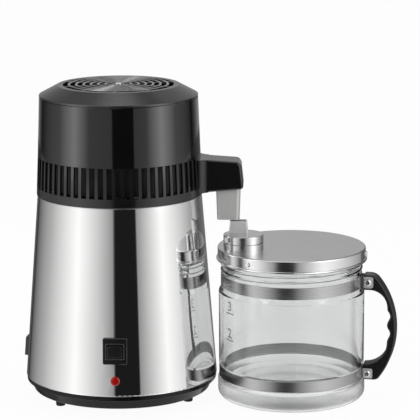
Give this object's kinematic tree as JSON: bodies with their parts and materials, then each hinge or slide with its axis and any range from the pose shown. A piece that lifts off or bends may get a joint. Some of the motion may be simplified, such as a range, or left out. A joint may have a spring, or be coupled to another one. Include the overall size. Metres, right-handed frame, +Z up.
{
  "type": "countertop water distiller",
  "caption": "Tapered steel boiling base with a black fan-cooled condenser head and spout over a lidded glass collecting jug with steel bands and a side handle.",
  "frame": {"origin": "on the counter, under the middle of the base and the jug as they stand together", "axes": "+Z up, +X from the boiling base towards the jug along the spout, -Y towards the switch"},
  "size_m": [0.4493, 0.2341, 0.3799],
  "materials": {
    "polished_steel": "mirror polished",
    "drawn_steel": "satin drawn",
    "band_steel": "fine brushed",
    "lid_steel": "fine brushed",
    "spout_metal": "satin",
    "coil_steel": "bright drawn",
    "fastener_steel": "zinc bright",
    "element_steel": "heat tinted",
    "cast_aluminium": "cast satin",
    "motor_steel": "plated satin",
    "gloss_black": "high gloss",
    "satin_black": "fine satin",
    "top_grey": "fine satin",
    "base_black": "fine satin",
    "fan_black": "moulded",
    "handle_black": "soft satin",
    "switch_black": "satin gloss",
    "foot_rubber": "matt",
    "seal_silicone": "translucent matt",
    "clear_glass": "clear polished",
    "red_lens": "clear red",
    "contact_brass": "bright",
    "charcoal_cloth": "non-woven"
  },
  "bodies": {
    "base": {"base_pan": "base_black", "rubber_feet": "foot_rubber", "outer_shell": "polished_steel", "boiling_tank": "drawn_steel", "tank_floor": "drawn_steel", "tank_rim": "drawn_steel", "heater_plate": "cast_aluminium", "heating_element": "element_steel", "element_clamp": "fastener_steel", "thermal_cutout": "motor_steel", "tie_rods": "fastener_steel", "base_nuts": "fastener_steel", "switch_bezel": "switch_black", "switch_module": "fan_black", "lamp_lens": "red_lens", "lamp_holder": "fan_black", "power_inlet": "satin_black", "inlet_pins": "contact_brass", "contact_socket": "fan_black"},
    "button": {"push_button": "switch_black"},
    "head": {"contact_pins": "contact_brass", "vent_ring": "satin_black", "spout_housing": "satin_black", "nozzle": "spout_metal", "dome_cover": "gloss_black", "top_grille": "top_grey", "grille_stud": "fastener_steel", "steam_plate": "drawn_steel", "seal_ring": "seal_silicone", "condenser_coil": "coil_steel", "riser_nut": "fastener_steel", "coil_clips": "drawn_steel", "fan_mount": "fan_black", "mount_screws": "fastener_steel", "fan_motor": "motor_steel"},
    "fan": {"fan_shaft": "fastener_steel", "fan_rotor": "fan_black"},
    "jug": {"glass_jug": "clear_glass", "upper_band": "band_steel", "lower_band": "band_steel", "jug_handle": "handle_black", "handle_screws": "fastener_steel", "handle_nuts": "fastener_steel"},
    "lid": {"jug_lid": "lid_steel", "lid_seal": "seal_silicone", "lid_pins": "fastener_steel", "filter_cup": "lid_steel", "charcoal_sachet": "charcoal_cloth"},
    "cap": {"filter_cap": "spout_metal", "drip_chute": "spout_metal"}
  },
  "joints": [
    {"name": "button_press", "type": "slide", "parent": "base", "child": "button", "axis": [0, 0.9969, -0.0787], "range_m": [0, 0.003], "stiffness_N_per_m": 400},
    {"name": "head_lift", "type": "slide", "parent": "base", "child": "head", "axis": [0, 0, 1], "range_m": [0, 0.12]},
    {"name": "fan_spin", "type": "hinge", "parent": "head", "child": "fan", "pos_m": [-0.10845, 0, 0.32], "axis": [0, 0, 1], "continuous": true},
    {"name": "jug_pull", "type": "slide", "parent": "base", "child": "jug", "axis": [1, 0, 0], "range_m": [0, 0.15]},
    {"name": "lid_turn", "type": "hinge", "parent": "jug", "child": "lid", "pos_m": [0.09655, 0, 0.18], "axis": [0, 0, 1], "range_deg": [0, 60]},
    {"name": "cap_turn", "type": "hinge", "parent": "lid", "child": "cap", "pos_m": [0.0393, -0.0186, 0.19], "axis": [0, 0, 1], "range_deg": [0, 45]}
  ]
}
